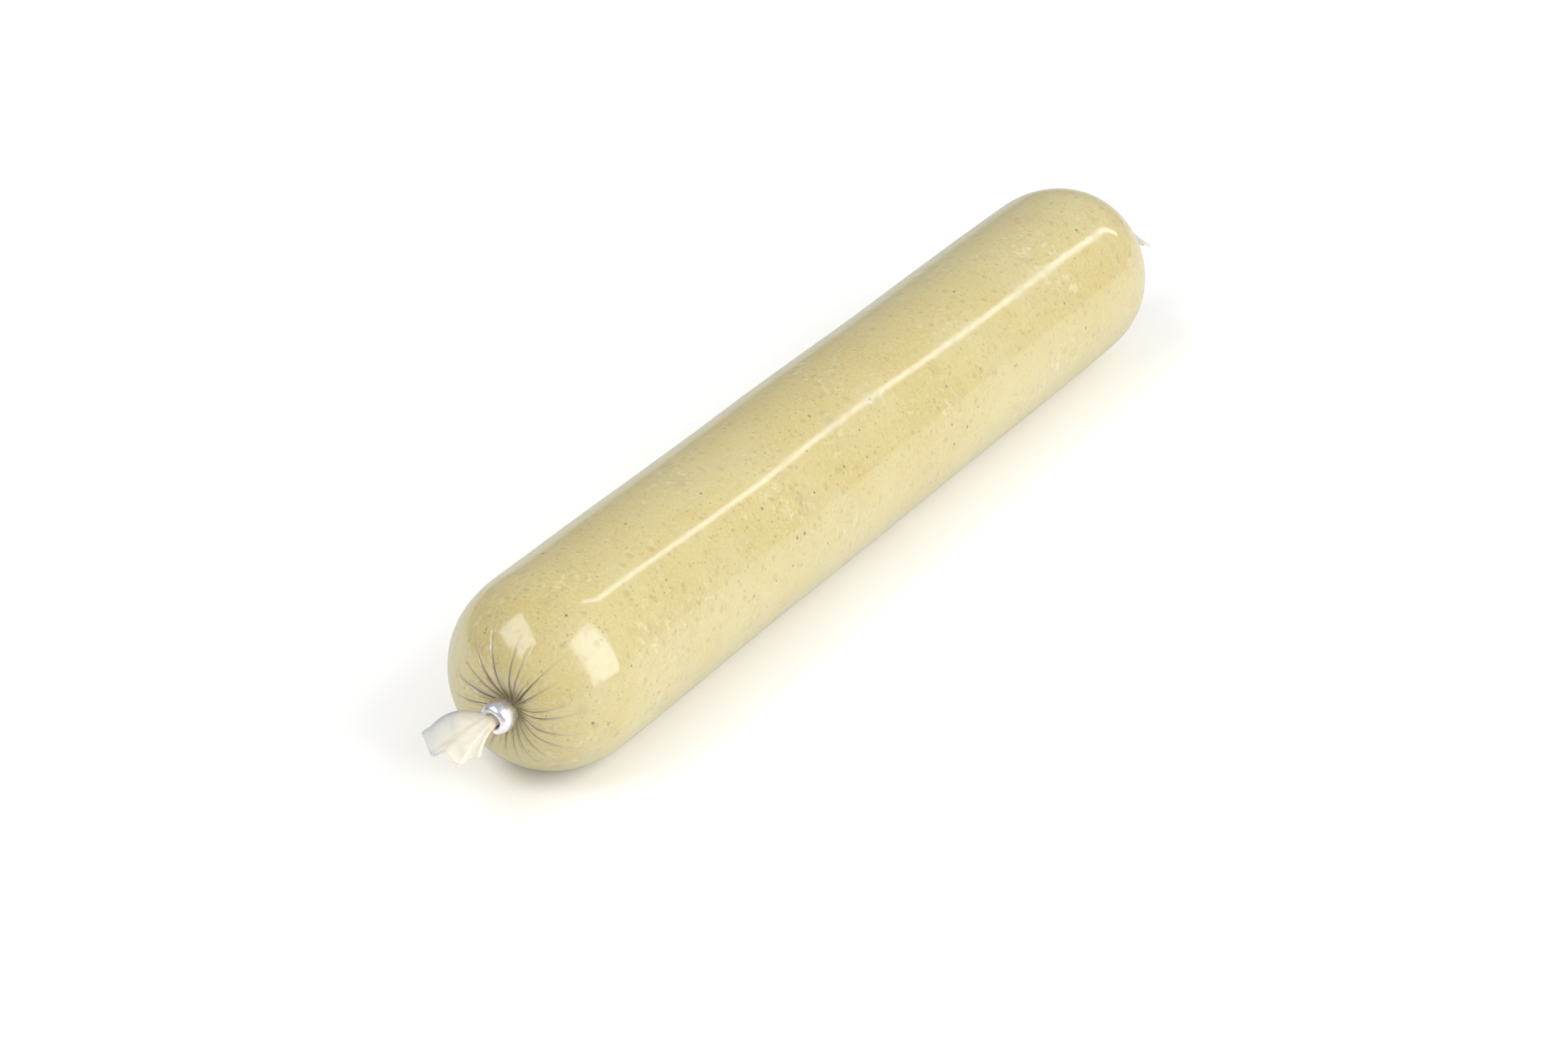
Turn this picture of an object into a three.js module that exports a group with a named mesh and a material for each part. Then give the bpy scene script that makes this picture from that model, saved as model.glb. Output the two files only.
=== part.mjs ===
// A spreading sausage in a clear film casing, closed at each end by a small aluminium clip.
// It lies on its side along Y. The front clip is at -Y, the rear clip at +Y, and +Z is up.
// Millimetres.

import * as THREE from "three";

// The filled body.
const BODY_DIAMETER = 45; // outside of the casing
const STRAIGHT_LENGTH = 215; // between the planes where the rounded ends begin
const END_HEIGHT = 24.1; // of a rounded end, before it is drawn in at the clip
const END_FULLNESS = 2.15; // 2 is an ellipse, more is squarer
const DIMPLE_DEPTH = 3; // how far the clip draws the film in
const DIMPLE_RADIUS = 6;
const NECK_ASIDE = 3.3; // how far off the middle an end is gathered, towards +X at the front
const NECK_RISE = 1.3; // and how far above it
const REST_WIDTH = 15; // of the flat that its own weight presses along the underside

// The film, a seamless tube. Its wall stands in for a film of a few hundredths of a millimetre.
const FILM_WALL = 0.4;
const CLEARANCE = 0.3; // between the film and the filling, and between the film and a clip
const PLEATS = 12; // gathered folds around each end
const PLEAT_DEPTH = 0.3; // at the clip, each way
const PLEAT_REACH = 9; // radius at which a fold has mostly died out

// Where the clip grips it, the film is a tight bundle with a narrow way through.
const NECK_RADIUS = 1.3;
const LUMEN_RADIUS = 0.5;

// The cut end of the film outside the clip, spread like a fan.
const TAIL_LENGTH = 10.1;
const TAIL_WIDTH = 15.4;
const TAIL_THICKNESS = 2.4;
const TAIL_RUFFLE = 1.1; // height of the waves across the fan
const TAIL_DROOP = 3.5;
const TAIL_SWAY = 4.8; // sideways lean at the cut edge, back across the middle
const TAIL_LOBE = 1.4; // how far the lobes of the cut edge stand out
const TAIL_LOBES = 3;

// A clip: flat aluminium wire bent round the neck, its two tips meeting underneath.
const CLIP_WIDTH = 5.6; // along the sausage
const CLIP_THICKNESS = 1.75; // of the wire, outwards
const CLIP_CORNER = 0.6;
const CLIP_TIP_GAP = 0.7;
const CROWN_ANGLE = 70; // degrees above +X that the back of the clip faces

// Facets.
const AROUND = 48;
const OUTER_CAP_STEPS = 11;
const INNER_CAP_STEPS = 8;
const BODY_STEPS = 4;
const TAIL_STEPS = 5;
const CLIP_STEPS = 32;
const CORNER_STEPS = 2;

const BODY_RADIUS = BODY_DIAMETER / 2;
const CLIP_INNER = NECK_RADIUS + CLEARANCE;
const CLIP_OUTER = CLIP_INNER + CLIP_THICKNESS;
const AXIS_HEIGHT = Math.sqrt(BODY_RADIUS ** 2 - (REST_WIDTH / 2) ** 2);

// Height of a rounded end at radius r, for a skin lying `inset` inside the outer surface.
function endHeight(r, inset) {
  const share = Math.min(r / (BODY_RADIUS - inset), 1);
  const dome = (END_HEIGHT - inset) * (1 - share ** END_FULLNESS) ** (1 / END_FULLNESS);
  return dome - DIMPLE_DEPTH * Math.exp(-((r / DIMPLE_RADIUS) ** 2));
}

// Distances from the middle of the sausage, the same at both ends.
const SHOULDER = STRAIGHT_LENGTH / 2;
const CLIP_SEAT = SHOULDER + endHeight(CLIP_OUTER, 0) + PLEAT_DEPTH;
const CLIP_BACK = CLIP_SEAT + CLEARANCE;
const TAIL_START = CLIP_BACK + CLIP_WIDTH + CLEARANCE;

// Points of one rounded end and half of the straight body, from radius `from` to the middle.
function halfBody(from, inset) {
  const points = [];
  const full = BODY_RADIUS - inset;
  const start = Math.asin(from / full);
  const steps = inset > 0 ? INNER_CAP_STEPS : OUTER_CAP_STEPS;
  for (let i = 0; i <= steps; i += 1) {
    const angle = start + ((Math.PI / 2 - start) * i) / steps;
    const r = full * Math.sin(angle);
    points.push(new THREE.Vector2(r, SHOULDER + endHeight(r, inset)));
  }
  for (let i = 1; i < BODY_STEPS / 2; i += 1) {
    points.push(new THREE.Vector2(full, SHOULDER * (1 - (2 * i) / BODY_STEPS)));
  }
  return points;
}

// Points of one tail from its cut edge to the neck, then the neck up to the clip's seat.
function halfTail(neck, edge) {
  const points = [];
  for (let i = TAIL_STEPS; i >= 0; i -= 1) {
    const share = i / TAIL_STEPS;
    const r = neck + (edge - neck) * share ** 0.85;
    points.push(new THREE.Vector2(r, TAIL_START + TAIL_LENGTH * share));
  }
  points.push(new THREE.Vector2(neck, CLIP_BACK + CLIP_WIDTH / 2));
  return points;
}

// A half profile and its mirror image, from the +Y end to the -Y end.
function bothHalves(half) {
  const middle = new THREE.Vector2(half[half.length - 1].x, 0);
  const far = half.map((p) => new THREE.Vector2(p.x, -p.y)).reverse();
  return [...half, middle, ...far];
}

// Presses the underside flat. `floorOf` gives how far a point's skin stays above the surface.
function pressFlat(position, floorOf) {
  for (let i = 0; i < position.count; i += 1) {
    const level = floorOf(i) - AXIS_HEIGHT;
    if (position.getZ(i) < level) position.setZ(i, level);
  }
}

// Gathers the rounded ends into folds that run out from the clips.
function pleatEnds(position) {
  for (let i = 0; i < position.count; i += 1) {
    const y = position.getY(i);
    const beyond = Math.abs(y) - SHOULDER;
    const r = Math.hypot(position.getX(i), position.getZ(i));
    if (beyond <= 0 || Math.abs(y) > CLIP_SEAT || r <= NECK_RADIUS) continue;
    const angle = Math.atan2(position.getZ(i), position.getX(i));
    const fade = Math.exp(-((r / PLEAT_REACH) ** 2)) * (1 - NECK_RADIUS / r);
    position.setY(i, y + Math.sign(y) * PLEAT_DEPTH * fade * Math.cos(PLEATS * angle));
  }
}

// Draws the ends aside and up, fully at the clips and beyond, less and less towards the shoulders.
function drawAside(position) {
  for (let i = 0; i < position.count; i += 1) {
    const y = position.getY(i);
    if (Math.abs(y) <= SHOULDER) continue;
    const r = Math.hypot(position.getX(i), position.getZ(i));
    const share = Math.abs(y) < CLIP_SEAT ? (1 - (r / BODY_RADIUS) ** 2) ** 2 : 1;
    position.setX(i, position.getX(i) - Math.sign(y) * NECK_ASIDE * share);
    position.setZ(i, position.getZ(i) + NECK_RISE * share);
  }
}

// Flattens each tail into a rippled fan with a lobed edge that droops and leans aside.
function spreadTails(position) {
  for (let i = 0; i < position.count; i += 1) {
    const y = position.getY(i);
    const share = (Math.abs(y) - TAIL_START) / TAIL_LENGTH;
    if (share <= 0) continue;
    const side = Math.sign(y);
    const across = position.getX(i) / (TAIL_WIDTH / 2);
    const flat = 1 - share + (share * TAIL_THICKNESS) / TAIL_WIDTH;
    const wave = TAIL_RUFFLE * share * Math.sin(TAIL_LOBES * Math.PI * across);
    const lobe = TAIL_LOBE * share * Math.cos(TAIL_LOBES * Math.PI * across);
    position.setX(i, position.getX(i) + side * TAIL_SWAY * share);
    position.setY(i, y + side * lobe);
    position.setZ(i, position.getZ(i) * flat + wave - TAIL_DROOP * share ** 2);
  }
}

function finished(geometry) {
  geometry.translate(0, 0, AXIS_HEIGHT);
  geometry.computeVertexNormals();
  return geometry;
}

// The film runs in one piece from cut edge to cut edge: inside one way, outside back again.
function casingGeometry() {
  const neckFoot = new THREE.Vector2(NECK_RADIUS, SHOULDER + endHeight(NECK_RADIUS, 0));
  const inside = bothHalves([
    ...halfTail(LUMEN_RADIUS, TAIL_WIDTH / 4),
    ...halfBody(LUMEN_RADIUS, FILM_WALL),
  ]);
  const outside = bothHalves([
    ...halfTail(NECK_RADIUS, TAIL_WIDTH / 2),
    neckFoot,
    ...halfBody(NECK_RADIUS + FILM_WALL, 0),
  ]);
  const loop = [...inside, ...outside.reverse(), inside[0].clone()];
  const geometry = new THREE.LatheGeometry(loop, AROUND);
  const position = geometry.getAttribute("position");
  pleatEnds(position);
  spreadTails(position);
  drawAside(position);
  pressFlat(position, (i) => (i % loop.length < inside.length ? FILM_WALL : 0));
  return finished(geometry);
}

// The filling follows the inside of the film all round.
function fillingGeometry() {
  const inset = FILM_WALL + CLEARANCE;
  const half = halfBody(LUMEN_RADIUS, inset);
  half.unshift(new THREE.Vector2(0, SHOULDER + endHeight(0, inset)));
  const geometry = new THREE.LatheGeometry(bothHalves(half).reverse(), AROUND);
  const position = geometry.getAttribute("position");
  pleatEnds(position);
  drawAside(position);
  pressFlat(position, () => inset);
  return finished(geometry);
}

// The centre line of a clip: a ring round the neck, open by the gap between its tips.
class ClipLine extends THREE.Curve {
  getPoint(share, target = new THREE.Vector3()) {
    const radius = (CLIP_INNER + CLIP_OUTER) / 2;
    const open = CLIP_TIP_GAP / CLIP_INNER;
    const angle = -Math.PI + open / 2 + (2 * Math.PI - open) * share;
    return target.set(radius * Math.cos(angle), 0, radius * Math.sin(angle));
  }
}

function clipGeometry() {
  const section = new THREE.Shape();
  const w = CLIP_WIDTH / 2;
  const t = CLIP_THICKNESS / 2;
  const c = Math.min(CLIP_CORNER, w, t);
  section.moveTo(-w + c, -t);
  section.lineTo(w - c, -t);
  section.absarc(w - c, -t + c, c, -Math.PI / 2, 0, false);
  section.absarc(w - c, t - c, c, 0, Math.PI / 2, false);
  section.absarc(-w + c, t - c, c, Math.PI / 2, Math.PI, false);
  section.absarc(-w + c, -t + c, c, Math.PI, 1.5 * Math.PI, false);
  return new THREE.ExtrudeGeometry(section, {
    steps: CLIP_STEPS,
    curveSegments: CORNER_STEPS,
    extrudePath: new ClipLine(),
    bevelEnabled: false,
  });
}

const fillingMaterial = new THREE.MeshStandardMaterial({ color: 0xdccf9a, roughness: 0.5 });
const filmMaterial = new THREE.MeshStandardMaterial({
  color: 0xf2eedd,
  roughness: 0.12,
  transparent: true,
  opacity: 0.3,
});
const clipMaterial = new THREE.MeshStandardMaterial({
  color: 0xc9c9ce,
  roughness: 0.25,
  metalness: 1,
});

const filling = new THREE.Mesh(fillingGeometry(), fillingMaterial);
filling.name = "filling";

const casing = new THREE.Mesh(casingGeometry(), filmMaterial);
casing.name = "casing";

function makeClip(name, side) {
  const clip = new THREE.Mesh(clipGeometry(), clipMaterial);
  clip.name = name;
  const middle = side * (CLIP_BACK + CLIP_WIDTH / 2);
  clip.position.set(-side * NECK_ASIDE, middle, AXIS_HEIGHT + NECK_RISE);
  clip.rotation.y = THREE.MathUtils.degToRad(-CROWN_ANGLE);
  return clip;
}

const sausage = new THREE.Group();
sausage.add(filling, casing, makeClip("front_clip", -1), makeClip("rear_clip", 1));

// The origin is under the middle of the whole, on the surface that it lies on.
const box = new THREE.Box3().setFromObject(sausage);
sausage.position.set(
  -(box.min.x + box.max.x) / 2,
  -(box.min.y + box.max.y) / 2,
  -box.min.z,
);

export default sausage;
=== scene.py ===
import math

import bmesh
import bpy
import numpy as np
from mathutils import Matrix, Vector


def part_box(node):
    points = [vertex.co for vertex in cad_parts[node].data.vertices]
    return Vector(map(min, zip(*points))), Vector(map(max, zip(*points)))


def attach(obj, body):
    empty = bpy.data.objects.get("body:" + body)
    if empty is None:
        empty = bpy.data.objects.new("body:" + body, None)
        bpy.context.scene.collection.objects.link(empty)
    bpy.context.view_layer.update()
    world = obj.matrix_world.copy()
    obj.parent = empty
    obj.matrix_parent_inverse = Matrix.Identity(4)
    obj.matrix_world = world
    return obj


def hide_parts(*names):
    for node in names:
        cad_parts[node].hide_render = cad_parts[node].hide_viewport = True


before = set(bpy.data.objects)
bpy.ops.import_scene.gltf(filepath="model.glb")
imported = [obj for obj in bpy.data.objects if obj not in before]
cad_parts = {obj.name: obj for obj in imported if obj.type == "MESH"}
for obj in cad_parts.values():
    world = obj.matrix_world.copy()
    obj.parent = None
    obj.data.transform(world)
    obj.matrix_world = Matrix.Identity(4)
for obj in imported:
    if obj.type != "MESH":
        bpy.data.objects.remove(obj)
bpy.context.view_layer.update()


# The filling: a cooked, finely cut liver mass, pumped into the casing and set firm in its shape.
# It is pale beige and a little moist, with dark specks of spice and liver and pale flecks of fat.
# The folds of the casing are pressed into its rounded ends, with painted shade laid along their
# creases, and it lies on a narrow flat.
casing_low, casing_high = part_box("casing")
BODY_RADIUS = (casing_high[0] - casing_low[0]) / 2
AXIS_HEIGHT = casing_high[2] - BODY_RADIUS
SHOULDER = 0.1075  # distance from the middle at which a rounded end begins
END_HEIGHT = 0.0241  # of a rounded end, before it is drawn in
END_FULLNESS = 2.15
DIMPLE_DEPTH = 0.003  # how far the clip draws the film in
DIMPLE_RADIUS = 0.006
NECK_RADIUS = 0.0013
NECK = {
    end: [(low + high) / 2 for low, high in zip(*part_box(f"{end}_clip"))]  # middle of each clip
    for end in ("front", "rear")
}
AROUND = 410
END_RINGS = {"front": 62, "rear": 40}
STRAIGHT_RINGS = 10
FILLING_INSET = 0.00013  # below the outer face of the film
FILLING_NECK = 0.0009  # radius to which the filling narrows under the clip
FLAT_BLEND = 0.0008  # over which the side turns into the flat underneath
SIDES = {"front": -1, "rear": 1}

# Folds that stand out: direction round the end in degrees, reach and depth in mm, bend in degrees.
MAIN_FOLDS = {
    "front": [
        (103, 19.5, 0.50, 2), (80, 19.0, 0.42, 0), (69, 17.0, 0.36, 0), (55, 12.5, 0.34, -1),
        (49, 19.5, 0.62, -2), (38, 16.5, 0.40, -3), (14, 17.0, 0.34, 3), (4, 19.0, 0.42, 4),
        (-14, 19.5, 0.40, 4), (-27, 19.0, 0.46, 3), (-45, 17.5, 0.40, 2), (-62, 16.0, 0.36, 3),
        (-77, 16.0, 0.36, 1), (-91, 13.0, 0.34, 0), (121, 18.0, 0.50, 2), (139, 16.0, 0.40, 4),
        (163, 15.0, 0.44, 0), (186, 16.5, 0.40, 1), (206, 16.0, 0.38, -1), (228, 15.0, 0.36, -2),
        (248, 16.0, 0.36, 0),
    ],
    "rear": [
        (12, 18.0, 0.46, 2), (31, 15.0, 0.36, 0), (52, 19.0, 0.48, -2), (76, 16.5, 0.40, 2),
        (95, 19.0, 0.44, -1), (118, 15.5, 0.38, 2), (136, 18.5, 0.50, 3), (160, 16.0, 0.36, 0),
        (178, 19.0, 0.44, -2), (201, 15.5, 0.40, 2), (223, 18.0, 0.46, 0), (247, 16.5, 0.36, 2),
        (270, 18.0, 0.42, -2), (292, 15.0, 0.36, 1), (311, 18.5, 0.44, -2), (337, 16.5, 0.40, 2),
    ],
}
SMALL_FOLDS = 44  # at each end
SWELLS = 26
SWELL_HEIGHT = 0.000018
MM = 0.001


def end_height(r):
    """Height of a rounded end over its shoulder at radius r."""
    share = np.clip(r / BODY_RADIUS, 0, 1)
    dome = END_HEIGHT * (1 - share**END_FULLNESS) ** (1 / END_FULLNESS)
    return dome - DIMPLE_DEPTH * np.exp(-((r / DIMPLE_RADIUS) ** 2))


def half_profile(from_radius, end_rings):
    """Radius and distance from the middle, from the clip over the shoulder to the middle."""
    turn = np.linspace(math.asin(from_radius / BODY_RADIUS), math.pi / 2, 4000)
    r = BODY_RADIUS * np.sin(turn)
    y = SHOULDER + end_height(r)
    step = 0.3 + 0.7 * (r / BODY_RADIUS) ** 2
    run = np.concatenate([[0], np.cumsum(np.hypot(np.diff(r), np.diff(y)) / step[1:])])
    pick = np.linspace(0, run[-1], end_rings)
    straight = np.linspace(SHOULDER, 0, STRAIGHT_RINGS)[1:]
    r = np.concatenate([np.interp(pick, run, r), np.full(straight.size, BODY_RADIUS)])
    y = np.concatenate([np.interp(pick, run, y), straight])
    return r, y


def drawn_aside(r, y):
    """Share of the clip's offset from the middle that a ring of the skin follows."""
    return np.where(y > SHOULDER, (1 - (r / BODY_RADIUS) ** 2) ** 2, 0)


def folds_of(end):
    """All folds of one end: the main ones, and small ones between them from a fixed draw."""
    draw = np.random.default_rng(11 if end == "front" else 12)
    folds = [
        (math.radians(turn), reach * MM, depth * MM, math.radians(bend))
        for turn, reach, depth, bend in MAIN_FOLDS[end]
    ]
    for i in range(SMALL_FOLDS):
        turn = (i + draw.uniform(-0.4, 0.4)) * 2 * math.pi / SMALL_FOLDS
        reach = draw.uniform(7, 16) * MM
        depth = draw.uniform(0.10, 0.30) * MM
        folds.append((turn, reach, depth, math.radians(draw.uniform(-3, 3))))
    return folds


def fold_field(end, r, theta):
    """Height that the folds add to the skin, and how deep in a crease each point lies: the mask for
    the painted crease shade.
    """
    height = np.zeros(np.broadcast(r, theta).shape)
    crease = np.zeros_like(height)
    for turn, reach, depth, bend in folds_of(end):
        run = np.clip(r / reach, 0, 1)
        fade = (1 - run**2.5) * (0.35 + 0.65 * np.sin(math.pi * np.minimum(run * 1.2, 1)))
        off = (theta - turn - bend * run**2 + math.pi) % (2 * math.pi) - math.pi
        across = r * np.sin(off)
        near = np.cos(off) > 0
        width = (0.07 + 0.26 * run) * MM
        groove = np.exp(-((across / width) ** 2))
        ridge = np.exp(-(((across - 2.1 * width) / (1.3 * width)) ** 2))
        valley = np.exp(-((across / (4.0 * width)) ** 2))
        height += near * fade * depth * (0.55 * ridge - 0.65 * groove - 0.35 * valley)
        strength = min(depth / (0.42 * MM), 1.0) ** 1.6 * fade
        strength = strength * (0.25 + 0.75 * np.minimum(r / (5 * MM), 1))
        crease = np.maximum(crease, near * strength * np.exp(-((across / (0.7 * width)) ** 2)))
    return height, crease


def unevenness(y, theta):
    """Shallow swells of the skin, so that the body isn't a perfect tube."""
    draw = np.random.default_rng(5)
    swell = np.zeros(np.broadcast(y, theta).shape)
    for _ in range(SWELLS):
        length = draw.uniform(0.03, 0.12)
        turns = int(draw.integers(0, 4))
        height = draw.uniform(0.3, 1.0) * SWELL_HEIGHT * (length / 0.05)
        phase = draw.uniform(0, 2 * math.pi)
        swell += height * np.sin(2 * math.pi * y / length + turns * theta + phase)
    return swell


def skin_points(inset, from_radius):
    """Rings of points of the whole skin, front end first, `inset` below the outer face."""
    theta = np.linspace(0, 2 * math.pi, AROUND, endpoint=False)[None, :]
    points, creases = [], []
    for end, side in SIDES.items():
        r, y = half_profile(from_radius, END_RINGS[end])
        slope_r, slope_y = np.gradient(r), np.gradient(y)
        size = np.hypot(slope_r, slope_y)
        out_r, out_y = -slope_y / size, slope_r / size
        height, crease = fold_field(end, r[:, None], theta)
        ease = np.clip((r - from_radius) / 0.002, 0, 1)
        lift = height * ease[:, None] + unevenness(side * y[:, None], theta) - inset
        radius = r[:, None] + out_r[:, None] * lift
        along = side * (y[:, None] + out_y[:, None] * lift)
        share = drawn_aside(r, y)[:, None]
        x = radius * np.cos(theta) + NECK[end][0] * share
        z = AXIS_HEIGHT + radius * np.sin(theta) + (NECK[end][2] - AXIS_HEIGHT) * share
        over = z - inset
        blended = np.where(over > -FLAT_BLEND, (over + FLAT_BLEND) ** 2 / (4 * FLAT_BLEND), 0)
        z = inset + np.where(over > FLAT_BLEND, over, blended)
        grid = np.stack([x, along, z], axis=-1)
        points.append(grid if side < 0 else grid[-2::-1])
        creases.append(crease if side < 0 else crease[-2::-1])
    return np.concatenate(points), np.concatenate(creases)


def grid_faces(rings, closed=False, around=AROUND):
    """Quads between rings of points that each go once round."""
    rows = np.arange(rings if closed else rings - 1)[:, None]
    column = np.arange(around)[None, :]
    after = (column + 1) % around
    above = (rows + 1) % rings
    corners = ((rows, column), (rows, after), (above, after), (above, column))
    return np.stack([row * around + place for row, place in corners], axis=-1).reshape(-1, 4)


def make_piece(name, points, faces, material, marks=None):
    """A smooth closed mesh in the frame, riding on the one body, with its marks as attributes."""
    mesh = bpy.data.meshes.new(name)
    mesh.from_pydata(np.asarray(points).reshape(-1, 3).tolist(), [], [list(f) for f in faces])
    for mark, values in (marks or {}).items():
        layer = mesh.attributes.new(mark, "FLOAT", "POINT")
        layer.data.foreach_set("value", np.asarray(values, dtype=np.float32).ravel())
    work = bmesh.new()
    work.from_mesh(mesh)
    bmesh.ops.recalc_face_normals(work, faces=work.faces)
    work.to_mesh(mesh)
    work.free()
    mesh.polygons.foreach_set("use_smooth", [True] * len(mesh.polygons))
    mesh.materials.append(material)
    piece = bpy.data.objects.new(name, mesh)
    bpy.context.scene.collection.objects.link(piece)
    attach(piece, "root")
    return piece


class Nodes:
    """Adds nodes to one node tree, with values and links given together."""

    def __init__(self, tree):
        self.tree = tree

    def add(self, kind, settings=None, **inputs):
        node = self.tree.nodes.new("ShaderNode" + kind)
        for key, value in (settings or {}).items():
            setattr(node, key, value)
        for key, value in inputs.items():
            self.feed(node, key.replace("_", " "), value)
        return node

    def feed(self, node, socket, value):
        target = node.inputs[int(socket)] if socket.isdigit() else node.inputs[socket]
        if isinstance(value, bpy.types.NodeSocket):
            self.tree.links.new(value, target)
        else:
            target.default_value = value

    def maths(self, operation, *values):
        node = self.add("Math", {"operation": operation})
        for i, value in enumerate(values):
            self.feed(node, str(i), value)
        return node.outputs[0]

    def step(self, value, low, high):
        """0 below low, 1 above high, smooth between."""
        node = self.add("MapRange", {"interpolation_type": "SMOOTHSTEP"})
        self.feed(node, "Value", value)
        self.feed(node, "From Min", low)
        self.feed(node, "From Max", high)
        return node.outputs["Result"]

    def tint(self, share, base, colour):
        """base, with colour laid over it by share."""
        node = self.add("Mix", {"data_type": "RGBA"})
        self.feed(node, "0", share)
        self.feed(node, "6", base)
        self.feed(node, "7", colour)
        return node.outputs[2]

    def noise(self, place, scale, detail=2.0, roughness=0.5, distortion=0.0):
        node = self.add("TexNoise", Vector=place, Scale=scale, Detail=detail, Roughness=roughness)
        node.inputs["Distortion"].default_value = distortion
        return node.outputs["Fac"]


def new_material(name):
    material = bpy.data.materials.new(name)
    material.use_nodes = True
    material.node_tree.nodes.clear()
    return material, Nodes(material.node_tree)


def speck_group():
    """Scattered bits: a mask of round bits of mixed sizes, and a random number for each."""
    group = bpy.data.node_groups.new("scattered bits", "ShaderNodeTree")
    for name, kind, start in (
        ("Place", "NodeSocketVector", None),
        ("Scale", "NodeSocketFloat", 200.0),
        ("Size", "NodeSocketFloat", 0.1),
        ("Share", "NodeSocketFloat", 0.5),
        ("Softness", "NodeSocketFloat", 0.5),
    ):
        socket = group.interface.new_socket(name, in_out="INPUT", socket_type=kind)
        if start is not None:
            socket.default_value = start
    group.interface.new_socket("Mask", in_out="OUTPUT", socket_type="NodeSocketFloat")
    group.interface.new_socket("Random", in_out="OUTPUT", socket_type="NodeSocketFloat")
    n = Nodes(group)
    given = group.nodes.new("NodeGroupInput")
    out = group.nodes.new("NodeGroupOutput")
    cells = n.add("TexVoronoi", {"feature": "F1"}, Vector=given.outputs["Place"])
    n.feed(cells, "Scale", given.outputs["Scale"])
    parts = n.add("SeparateColor", Color=cells.outputs["Color"])
    chosen = n.maths("LESS_THAN", parts.outputs[0], given.outputs["Share"])
    spread = n.maths("POWER", parts.outputs[1], 2.0)
    radius = n.maths("MULTIPLY", n.maths("MULTIPLY_ADD", spread, 0.75, 0.25), given.outputs["Size"])
    inner = n.maths("MULTIPLY", radius, n.maths("SUBTRACT", 1.0, given.outputs["Softness"]))
    edge = n.add("MapRange", {"interpolation_type": "SMOOTHSTEP"}, Value=cells.outputs["Distance"])
    n.feed(edge, "From Min", radius)
    n.feed(edge, "From Max", inner)
    mask = n.maths("MULTIPLY", edge.outputs["Result"], chosen)
    group.links.new(mask, out.inputs["Mask"])
    group.links.new(parts.outputs[2], out.inputs["Random"])
    return group


scattered_bits = speck_group()


def bits(n, place, scale, size, share, softness):
    node = n.add("Group", {"node_tree": scattered_bits})
    n.feed(node, "Place", place)
    n.feed(node, "Scale", scale)
    n.feed(node, "Size", size)
    n.feed(node, "Share", share)
    n.feed(node, "Softness", softness)
    return node.outputs["Mask"], node.outputs["Random"]


def liver_sausage():
    material, n = new_material("liver sausage")
    place = n.add("TexCoord").outputs["Object"]
    crease = n.add("Attribute", {"attribute_name": "crease"}).outputs["Fac"]
    grain = n.noise(place, 1500.0, 3.0, 0.6)
    flecked = n.noise(place, 460.0, 4.0, 0.6)
    mottle = n.noise(place, 110.0, 4.0, 0.6)
    broad = n.noise(place, 34.0, 2.0)

    colour = n.tint(n.step(broad, 0.35, 0.68), (0.62, 0.515, 0.215, 1), (0.64, 0.55, 0.255, 1))
    mottled = n.maths("MULTIPLY", n.step(mottle, 0.42, 0.70), 0.5)
    colour = n.tint(mottled, colour, (0.59, 0.465, 0.18, 1))
    grained = n.maths("MULTIPLY", n.step(grain, 0.44, 0.66), 0.34)
    colour = n.tint(grained, colour, (0.74, 0.67, 0.37, 1))
    patches = n.step(n.noise(place, 55.0, 3.0, 0.6), 0.46, 0.62)
    fat = n.maths("MULTIPLY", n.step(flecked, 0.50, 0.70), patches)
    colour = n.tint(n.maths("MULTIPLY", fat, 0.60), colour, (0.79, 0.75, 0.52, 1))

    blot, _ = bits(n, place, 130.0, 0.34, 0.60, 1.0)
    colour = n.tint(n.maths("MULTIPLY", blot, 0.34), colour, (0.37, 0.37, 0.20, 1))
    warm, _ = bits(n, place, 620.0, 0.50, 0.90, 0.8)
    colour = n.tint(n.maths("MULTIPLY", warm, 0.38), colour, (0.56, 0.36, 0.13, 1))
    stain, _ = bits(n, place, 340.0, 0.48, 0.85, 0.8)
    colour = n.tint(n.maths("MULTIPLY", stain, 0.46), colour, (0.52, 0.33, 0.12, 1))
    green, _ = bits(n, place, 400.0, 0.42, 0.60, 0.8)
    colour = n.tint(n.maths("MULTIPLY", green, 0.34), colour, (0.26, 0.28, 0.15, 1))
    dark, kind = bits(n, place, 330.0, 0.22, 0.40, 0.7)
    spice = n.tint(n.step(kind, 0.55, 0.65), (0.085, 0.10, 0.085, 1), (0.16, 0.10, 0.14, 1))
    colour = n.tint(n.maths("MULTIPLY", dark, 0.80), colour, spice)
    dust, _ = bits(n, place, 900.0, 0.40, 0.70, 0.6)
    colour = n.tint(n.maths("MULTIPLY", dust, 0.42), colour, (0.24, 0.19, 0.10, 1))
    # Painted crease shade: the filling is darkened to violet-brown along each fold, partly standing
    # in for the doubled film there.
    colour = n.tint(n.maths("MULTIPLY", crease, 0.55), colour, (0.23, 0.145, 0.17, 1))

    relief = n.maths("ADD", n.maths("MULTIPLY", grain, 0.5), n.maths("MULTIPLY", flecked, 0.7))
    bump = n.add("Bump", Strength=0.35, Distance=0.00012, Height=relief).outputs[0]
    rough = n.maths("ADD", n.maths("MULTIPLY", flecked, 0.25), 0.36)
    shader = n.add("BsdfPrincipled", Normal=bump, Roughness=rough)
    n.feed(shader, "Base Color", colour)
    n.feed(shader, "Subsurface Weight", 0.22)
    n.feed(shader, "Subsurface Radius", (1.0, 0.72, 0.38))
    n.feed(shader, "Subsurface Scale", 0.0028)
    n.feed(shader, "Specular IOR Level", 0.22)
    out = n.add("OutputMaterial")
    n.feed(out, "Surface", shader.outputs[0])
    return material


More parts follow.
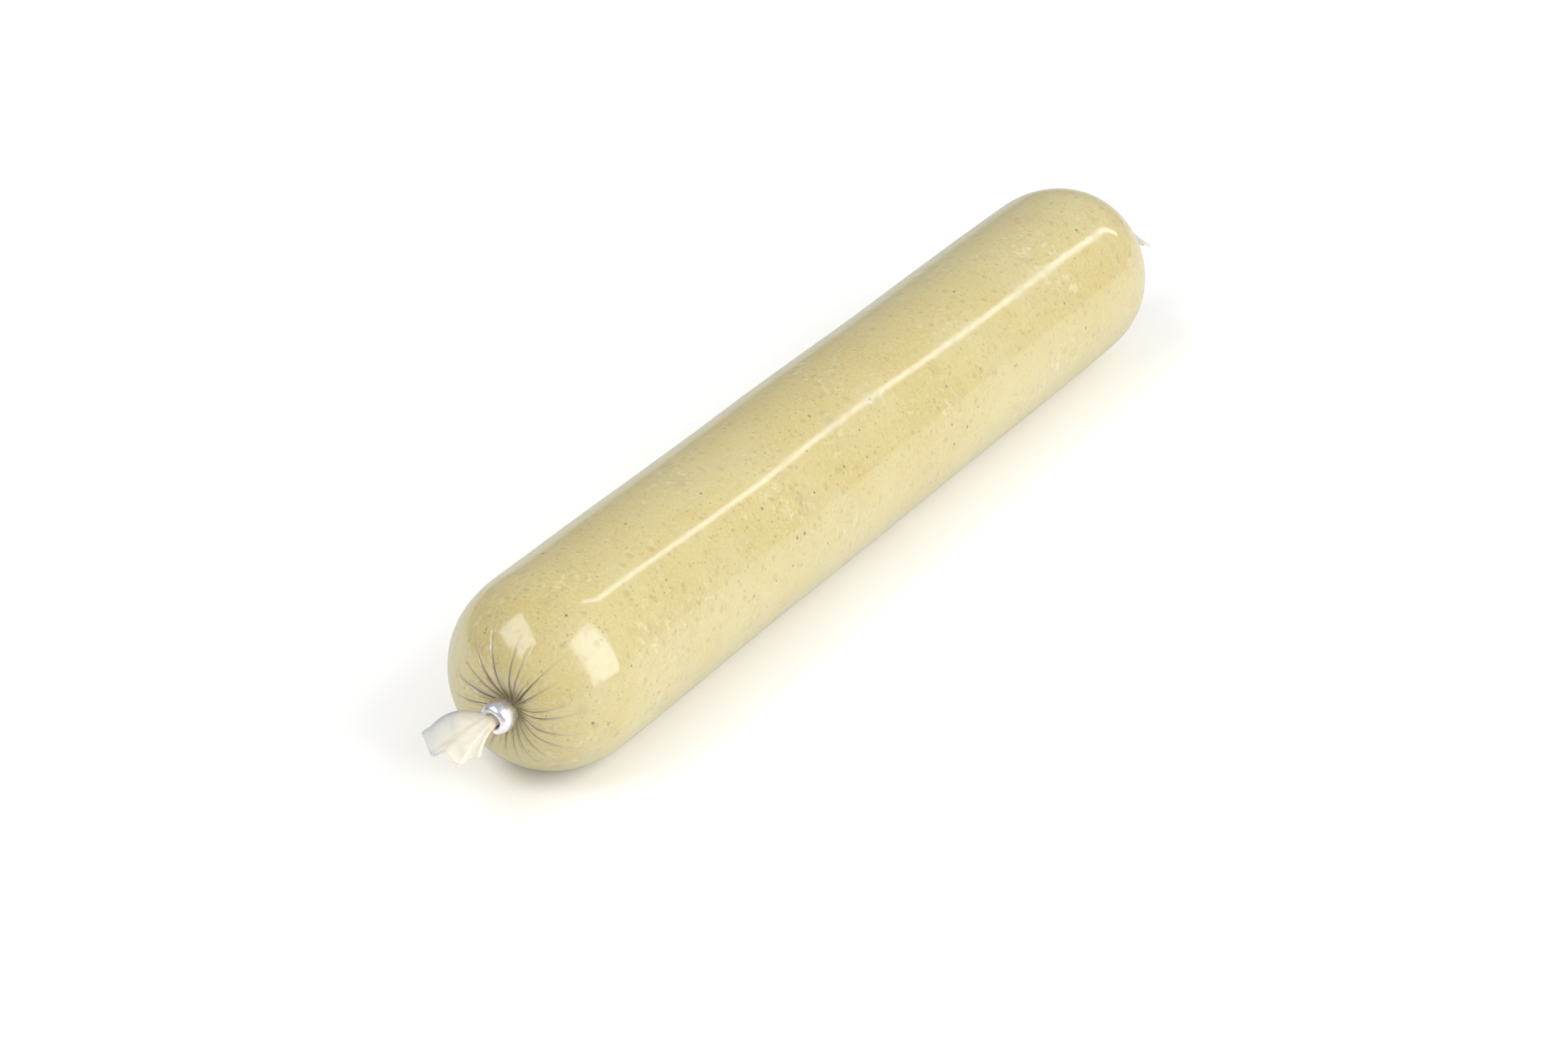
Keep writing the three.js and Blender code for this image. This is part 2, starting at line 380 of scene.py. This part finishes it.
def make_filling():
    grid, crease = skin_points(FILLING_INSET, FILLING_NECK)
    rings = len(grid)
    points = grid.reshape(-1, 3)
    tips = np.array([grid[0].mean(axis=0), grid[-1].mean(axis=0)])
    faces = [tuple(f) for f in grid_faces(rings)]
    last = (rings - 1) * AROUND
    front_tip, rear_tip = len(points), len(points) + 1
    for i in range(AROUND):
        after = (i + 1) % AROUND
        faces.append((i, after, front_tip))
        faces.append((last + after, last + i, rear_tip))
    marks = {"crease": np.concatenate([crease.ravel(), [1.0, 1.0]])}
    points = np.concatenate([points, tips])
    piece = make_piece("liver_filling", points, faces, liver_sausage(), marks)
    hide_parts("filling")


make_filling()


# The casing: a tube of clear, glossy plastic film, filled tight, so it clings to the filling.
# Each end is gathered by hand or machine into folds that run into the clip. Where the film folds
# on itself it is painted grey to violet, partly for the doubled film and partly as painted crease
# shade. Seen at a slant it mirrors the pale room.
FILM_WALL = 0.00007
front_clip_low, front_clip_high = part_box("front_clip")


def haze_group():
    """Smears on the film: broad cloudiness with finer streaks in it."""
    group = bpy.data.node_groups.new("film haze", "ShaderNodeTree")
    group.interface.new_socket("Place", in_out="INPUT", socket_type="NodeSocketVector")
    group.interface.new_socket("Scale", in_out="INPUT", socket_type="NodeSocketFloat")
    group.interface.new_socket("Haze", in_out="OUTPUT", socket_type="NodeSocketFloat")
    n = Nodes(group)
    given = group.nodes.new("NodeGroupInput")
    out = group.nodes.new("NodeGroupOutput")
    cloud = n.noise(given.outputs["Place"], 1.0, 3.0, 0.6, 0.8)
    n.feed(cloud.node, "Scale", given.outputs["Scale"])
    streak = n.noise(given.outputs["Place"], 1.0, 2.0, 0.7, 2.0)
    n.feed(streak.node, "Scale", n.maths("MULTIPLY", given.outputs["Scale"], 6.0))
    haze = n.maths("MULTIPLY", n.step(cloud, 0.40, 0.75), n.maths("ADD", streak, 0.4))
    group.links.new(haze, out.inputs["Haze"])
    return group


film_haze = haze_group()


def haze_of(n, place, scale):
    node = n.add("Group", {"node_tree": film_haze})
    n.feed(node, "Place", place)
    n.feed(node, "Scale", scale)
    return node.outputs["Haze"]


def mixed(n, share, first, second):
    node = n.add("MixShader")
    n.feed(node, "0", share)
    n.feed(node, "1", first)
    n.feed(node, "2", second)
    return node.outputs[0]


def mirror_share(n, refraction, bump):
    """How much a face of the film mirrors. Only faces turned to the viewer do."""
    fresnel = n.add("Fresnel", IOR=refraction, Normal=bump).outputs[0]
    behind = n.add("NewGeometry").outputs["Backfacing"]
    slant = n.maths("POWER", n.add("LayerWeight", Blend=0.5).outputs["Facing"], 3.0)
    held = n.maths("MULTIPLY", fresnel, n.maths("SUBTRACT", 1.0, n.maths("MULTIPLY", slant, 0.8)))
    return n.maths("MULTIPLY", held, n.maths("SUBTRACT", 1.0, behind))


def clear_film():
    material, n = new_material("clear casing film")
    place = n.add("TexCoord").outputs["Object"]
    crease = n.add("Attribute", {"attribute_name": "crease"}).outputs["Fac"]
    haze = haze_of(n, place, 60.0)
    ripple = n.noise(place, 170.0, 2.0, 0.5, 0.5)
    bump = n.add("Bump", Strength=0.10, Distance=0.0002, Height=ripple).outputs[0]
    rough = n.maths("MULTIPLY_ADD", haze, 0.10, 0.10)
    milk = n.add("BsdfDiffuse", Color=(0.83, 0.84, 0.87, 1)).outputs[0]
    fold_and_crease_shade = n.add("BsdfDiffuse", Color=(0.30, 0.21, 0.32, 1)).outputs[0]
    gloss = n.add("BsdfGlossy", Color=(0.74, 0.86, 1, 1), Roughness=rough, Normal=bump).outputs[0]
    facing = n.add("LayerWeight", Blend=0.5).outputs["Facing"]
    slant = n.maths("POWER", facing, 3.2)
    clear = n.tint(slant, (0.985, 0.98, 0.965, 1), (0.95, 0.94, 0.88, 1))
    see = n.add("BsdfTransparent", Color=clear).outputs[0]
    body = mixed(n, n.maths("MULTIPLY_ADD", haze, 0.03, 0.008), see, milk)
    body = mixed(n, n.maths("MULTIPLY", slant, 0.08), body, milk)
    # Partly painted shade: the film is darkened to violet-grey along the creases, partly for the
    # doubled film there.
    body = mixed(n, n.maths("MULTIPLY", crease, 0.30), body, fold_and_crease_shade)
    mirror = mirror_share(n, 1.65, bump)
    out = n.add("OutputMaterial")
    n.feed(out, "Surface", mixed(n, mirror, body, gloss))
    return material


def make_casing():
    outer, crease = skin_points(0.0, NECK_RADIUS)
    inner, _ = skin_points(FILM_WALL, NECK_RADIUS)

    def neck(grid, end, wall):
        """Adds a ring inside the clip, so that the neck runs on into it."""
        ring = grid[0 if end == "front" else -1].copy()
        theta = np.linspace(0, 2 * math.pi, AROUND, endpoint=False)
        ring[:, 0] = NECK[end][0] + (NECK_RADIUS - wall) * np.cos(theta)
        ring[:, 1] = NECK[end][1]
        ring[:, 2] = NECK[end][2] + (NECK_RADIUS - wall) * np.sin(theta)
        return ring[None]

    outer = np.concatenate([neck(outer, "front", 0), outer, neck(outer, "rear", 0)])
    inner = np.concatenate([neck(inner, "front", FILM_WALL), inner, neck(inner, "rear", FILM_WALL)])
    rings = len(outer)
    loop = np.concatenate([outer, inner[::-1]])
    edge = np.ones((1, AROUND))
    marks = np.concatenate([edge, crease, edge])
    marks = {"crease": np.concatenate([marks, marks[::-1]])}
    piece = make_piece("casing_film", loop, grid_faces(2 * rings, closed=True), clear_film(), marks)
    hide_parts("casing")


make_casing()


# The two cut ends of the casing, outside the clips. The tube comes out of the clip as a tight
# bundle and opens into a flat, crumpled fan of two layers with a lobed edge. Loose film is milky,
# greyish in random patches and tinged with a little fat. Painted shade turns it grey-blue towards
# -X and dark violet-grey along the rolled edge at the root.
TAIL_AROUND = 260
TAIL_ROWS = 70
BUNDLE_RADIUS = 0.00125
TAIL_DROOP = 0.0024
TAIL_LEFT, TAIL_RIGHT = -9.0, 6.2  # mm across, at the cut edge
FAN_FACE = 0.132  # distance from the middle from which the cut edge is given
# The cut edge: mm across, and mm out.
CUT_EDGE = [
    (-9.2, 10.3), (-8.4, 12.1), (-6.4, 13.4), (-4.2, 14.7), (-2.9, 15.0), (-1.8, 13.4),
    (-0.2, 14.3), (1.8, 15.1), (3.3, 15.0), (3.9, 12.9), (5.0, 12.0), (5.9, 12.0), (6.4, 10.6),
]


def smooth_noise(draw, count, low, high):
    """A smooth random curve over 0 to 1, as a sum of sines."""
    waves = [
        (draw.uniform(low, high), draw.uniform(0, 2 * math.pi), draw.uniform(0.4, 1))
        for _ in range(count)
    ]

    def curve(t):
        return sum(a * np.sin(2 * math.pi * f * t + p) for f, p, a in waves) / count

    return curve


def tail_skin(end, inset):
    """Rows of points of one fan, from the clip to the cut edge."""
    draw = np.random.default_rng(21 if end == "front" else 22)
    u = np.linspace(0, 2 * math.pi, TAIL_AROUND, endpoint=False)[None, :]
    v = np.linspace(0, 1, TAIL_ROWS)[:, None]
    across = np.cos(u)
    layer = np.sin(u)
    edge_x = TAIL_LEFT + (TAIL_RIGHT - TAIL_LEFT) * (across + 1) / 2
    edge_at = np.interp(edge_x, *zip(*CUT_EDGE))
    x = BUNDLE_RADIUS / MM * across * (1 - v) + edge_x * v ** (0.75 + 0.3 * across)
    out = edge_at * np.ones_like(v)
    ruffle = 0.55 * np.sin(2.2 * math.pi * across + 0.7) * v**1.3
    fine_top = smooth_noise(draw, 6, 1.0, 4.0)(across / 2)
    fine_low = smooth_noise(draw, 6, 1.0, 4.0)(across / 2)
    fine = np.where(layer > 0, fine_top, fine_low) * np.minimum(np.abs(layer) * 3, 1)
    crumple = fine * np.sin(math.pi * v**0.8) * 0.55 + fine * v * 0.3
    gap = BUNDLE_RADIUS / MM * (1 - v) ** 1.6 + 0.38 * v**0.5 * (1 + 0.5 * np.sin(3 * across + 1))
    droop = (TAIL_DROOP if end == "front" else 2 * TAIL_DROOP) / MM
    z = layer * (gap - inset / MM) + ruffle + crumple - droop * v**1.5
    rolled = np.exp(-(((across + 1) / 0.35) ** 2))
    z += rolled * (1.5 * np.sin(math.pi * np.clip(v * 1.2, 0, 1) ** 0.8) + 1.3 * v)
    x = x - across * inset / MM
    side = SIDES[end]
    half_clip = (front_clip_high[1] - front_clip_low[1]) / 2
    root = abs(NECK[end][1]) + half_clip / 2
    y = side * (root + (FAN_FACE + out * MM - root) * v**0.9)
    x = -side * x * MM + NECK[end][0] * (1 - v) ** 1.5
    z = z * MM + (NECK[end][2] - AXIS_HEIGHT) * (1 - v)
    # Painted shade: a mask for the dark violet-grey laid along the rolled edge at the root.
    root_roll_shade = np.exp(-(((across + 1) / 0.3) ** 2)) * (1 - v) ** 1.5
    return np.stack([x, y + 0 * x, AXIS_HEIGHT + z], axis=-1), root_roll_shade


def loose_film():
    material, n = new_material("loose casing film")
    place = n.add("TexCoord").outputs["Object"]
    haze = haze_of(n, place, 120.0)
    tinge = n.step(n.noise(place, 150.0, 2.0, 0.5, 0.4), 0.52, 0.68)
    grey = n.step(n.noise(place, 110.0, 2.0), 0.50, 0.66)
    # Painted shade: the film turns grey-blue towards -X, where the fan lies in shade; the grey
    # noise adds random grey patches.
    sideways = n.add("SeparateXYZ", Vector=place).outputs["X"]
    shade_towards_minus_x = n.maths("MULTIPLY", n.step(sideways, -0.0015, -0.007), 0.5)
    grey_patches_and_shade = n.maths("ADD", shade_towards_minus_x, n.maths("MULTIPLY", grey, 0.45))
    root_roll_shade = n.add("Attribute", {"attribute_name": "root_roll_shade"}).outputs["Fac"]
    colour = n.tint(grey_patches_and_shade, (0.93, 0.91, 0.83, 1), (0.62, 0.65, 0.72, 1))
    colour = n.tint(n.maths("MULTIPLY", tinge, 0.42), colour, (0.92, 0.76, 0.50, 1))
    # Painted shade: the rolled edge at the root is darkened to violet-grey.
    colour = n.tint(n.maths("MULTIPLY", root_roll_shade, 0.75), colour, (0.33, 0.31, 0.37, 1))
    ripple = n.noise(place, 380.0, 3.0, 0.6, 0.6)
    bump = n.add("Bump", Strength=0.3, Distance=0.0003, Height=ripple).outputs[0]
    see = n.add("BsdfTransparent", Color=(0.97, 0.965, 0.95, 1)).outputs[0]
    front = n.add("BsdfDiffuse", Color=colour, Normal=bump).outputs[0]
    through = n.add("BsdfTranslucent", Color=colour, Normal=bump).outputs[0]
    gloss = n.add("BsdfGlossy", Color=(1, 1, 1, 1), Roughness=0.30, Normal=bump).outputs[0]
    share = n.maths("MULTIPLY_ADD", haze, 0.30, 0.66)
    body = mixed(n, share, see, mixed(n, 0.45, front, through))
    mirror = mirror_share(n, 1.35, bump)
    out = n.add("OutputMaterial")
    n.feed(out, "Surface", mixed(n, mirror, body, gloss))
    return material


loose = loose_film()


def make_tail(end):
    outer, root_roll_shade = tail_skin(end, 0.0)
    inner, _ = tail_skin(end, FILM_WALL)
    loop = np.concatenate([outer, inner[::-1]])
    marks = {"root_roll_shade": np.concatenate([root_roll_shade, root_roll_shade[::-1]])}
    faces = grid_faces(2 * TAIL_ROWS, closed=True, around=TAIL_AROUND)
    piece = make_piece(f"{end}_tail", loop, faces, loose, marks)
    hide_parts("casing")


for tail_end in SIDES:
    make_tail(tail_end)


# The clips: flat, round-edged aluminium wire, bent round the gathered film by the clipping
# machine. The crown is smooth and domed, and the two tips curl in under the neck.
CLIP_WIDTH = front_clip_high[1] - front_clip_low[1]
CLIP_THICKNESS = 0.00175
CLIP_INNER = 0.0016
CROWN_TURN = math.radians(70)
CLIP_STEPS = 120
SECTION_STEPS = 40


def clip_metal():
    material, n = new_material("clip aluminium")
    place = n.add("TexCoord").outputs["Object"]
    dents = n.noise(place, 480.0, 3.0, 0.55)
    drawn = n.add("Mapping", Vector=place, Scale=(1.0, 9.0, 1.0)).outputs[0]
    lines = n.noise(drawn, 900.0, 2.0, 0.6)
    colour = n.tint(n.step(dents, 0.38, 0.66), (0.70, 0.69, 0.76, 1), (0.86, 0.86, 0.90, 1))
    rough = n.maths("MULTIPLY_ADD", lines, 0.16, 0.20)
    relief = n.maths("ADD", dents, n.maths("MULTIPLY", lines, 0.12))
    bump = n.add("Bump", Strength=0.35, Distance=0.00025, Height=relief).outputs[0]
    shader = n.add("BsdfPrincipled", Metallic=1.0, Roughness=rough, Normal=bump)
    n.feed(shader, "Base Color", colour)
    out = n.add("OutputMaterial")
    n.feed(out, "Surface", shader.outputs[0])
    return material


aluminium = clip_metal()


def make_clip(end):
    """A ring of rounded flat wire, open under the neck, with its crown turned up and aside."""
    draw = np.random.default_rng(31 if end == "front" else 32)
    sweep = np.linspace(-1, 1, CLIP_STEPS)
    lap = np.linspace(0, 2 * math.pi, SECTION_STEPS, endpoint=False)[None, :]
    turn = CROWN_TURN + sweep * math.radians(168)
    tip = np.clip((np.abs(sweep) - 0.9) / 0.1, 0, 1)
    size = np.sqrt(1 - 0.96 * tip**2)[:, None]
    outside = np.sin(lap) > 0
    along = CLIP_WIDTH / 2 * np.sign(np.cos(lap)) * np.abs(np.cos(lap)) ** 0.72
    full = np.where(outside, 0.85, 0.5)
    outward = CLIP_THICKNESS / 2 * np.sign(np.sin(lap)) * np.abs(np.sin(lap)) ** full
    crown = 0.0003 * np.sin(lap) ** 2 * outside
    dent = smooth_noise(draw, 5, 1, 4)(sweep / 2)[:, None] * 0.00008
    radius = CLIP_INNER + CLIP_THICKNESS / 2 - 0.0002 * tip[:, None]
    radius = radius + (outward + crown) * size + dent * outside
    y = NECK[end][1] + along * size * (1 - 0.06 * np.abs(sweep)[:, None])
    x = NECK[end][0] + radius * np.cos(turn)[:, None]
    z = NECK[end][2] + radius * np.sin(turn)[:, None]
    grid = np.stack([x, y + 0 * x, z], axis=-1)
    points = grid.reshape(-1, 3)
    ends = np.array([grid[0].mean(axis=0), grid[-1].mean(axis=0)])
    faces = [tuple(f) for f in grid_faces(CLIP_STEPS, around=SECTION_STEPS)]
    last = (CLIP_STEPS - 1) * SECTION_STEPS
    for i in range(SECTION_STEPS):
        after = (i + 1) % SECTION_STEPS
        faces.append((i, after, len(points)))
        faces.append((last + after, last + i, len(points) + 1))
    piece = make_piece(f"{end}_clip_wire", np.concatenate([points, ends]), faces, aluminium)
    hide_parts(f"{end}_clip")


for clip_end in SIDES:
    make_clip(clip_end)


# The floor: a plain, nearly white surface that the sausage lies on.
def make_floor():
    material, n = new_material("pale floor")
    place = n.add("TexCoord").outputs["Object"]
    colour = n.tint(n.noise(place, 40.0, 3.0), (0.90, 0.90, 0.90, 1), (0.92, 0.92, 0.915, 1))
    shader = n.add("BsdfPrincipled", Roughness=0.8)
    n.feed(shader, "Base Color", colour)
    n.feed(shader, "Emission Color", (1.0, 1.0, 1.0, 1))
    n.feed(shader, "Emission Strength", 0.10)
    out = n.add("OutputMaterial")
    n.feed(out, "Surface", shader.outputs[0])
    mesh = bpy.data.meshes.new("floor")
    reach = 6.0
    corners = [(-reach, -reach, 0), (reach, -reach, 0), (reach, reach, 0), (-reach, reach, 0)]
    mesh.from_pydata(corners, [], [(0, 1, 2, 3)])
    mesh.materials.append(material)
    floor = bpy.data.objects.new("floor", mesh)
    bpy.context.scene.collection.objects.link(floor)


make_floor()


# The light: a bright, even room, a tall soft panel on the right, a smaller one above the front
# end and a narrow strip behind, which draws the long line of light along the casing.
def add_panel(name, place, aim, size, brightness, tint):
    """A rectangular light at place that faces aim. Brightness is its radiance over white."""
    data = bpy.data.lights.new(name, "AREA")
    data.shape = "RECTANGLE"
    data.size, data.size_y = size
    data.energy = brightness * math.pi * size[0] * size[1]
    data.color = tint
    light = bpy.data.objects.new(name, data)
    light.location = place
    turn = (Vector(aim) - Vector(place)).to_track_quat("-Z", "Y")
    light.rotation_euler = turn.to_euler()
    bpy.context.scene.collection.objects.link(light)


NEAR_END = Vector((0.012, -0.118, 0.036))
PANEL_DISTANCE = 1.2
to_right = Vector((0.84, 0.18, 0.47)).normalized() * PANEL_DISTANCE
to_front = Vector((-0.32, -0.46, 0.83)).normalized() * PANEL_DISTANCE
add_panel("right panel", NEAR_END + to_right, NEAR_END, (0.66, 1.20), 4.3, (1.0, 0.985, 0.965))
add_panel("front panel", NEAR_END + to_front, NEAR_END, (0.92, 0.66), 3.7, (1.0, 0.985, 0.955))
STRIP_PLACE = (0.32, 0.87, 0.77)
STRIP_AIM = (0.012, 0.0, 0.04)
add_panel("back strip", STRIP_PLACE, STRIP_AIM, (0.075, 0.95), 4.6, (1.0, 0.99, 0.97))

world = bpy.data.worlds.new("room")
bpy.context.scene.world = world
world.use_nodes = True
room = Nodes(world.node_tree)
toward = room.add("SeparateXYZ", Vector=room.add("TexCoord").outputs["Generated"]).outputs
lit = room.maths("MULTIPLY_ADD", toward["Z"], 0.22, 0.43)
lit = room.maths("ADD", lit, room.maths("MULTIPLY", toward["X"], 0.10))
room.feed(world.node_tree.nodes["Background"], "Color", (0.97, 0.985, 1.0, 1))
room.feed(world.node_tree.nodes["Background"], "Strength", lit)
bpy.context.scene.view_settings.view_transform = "Standard"

# The camera: at one side of the front end and above it, looking down along the sausage.
camera_data = bpy.data.cameras.new("camera")
camera_data.lens = 93.09
camera_data.sensor_width = 36.0
camera_data.clip_end = 50.0
camera = bpy.data.objects.new("camera", camera_data)
camera.location = (0.43663, -0.69742, 0.48208)
camera.rotation_euler = (math.radians(90 - 30.18), 0, math.radians(32.72))
bpy.context.scene.collection.objects.link(camera)
bpy.context.scene.camera = camera
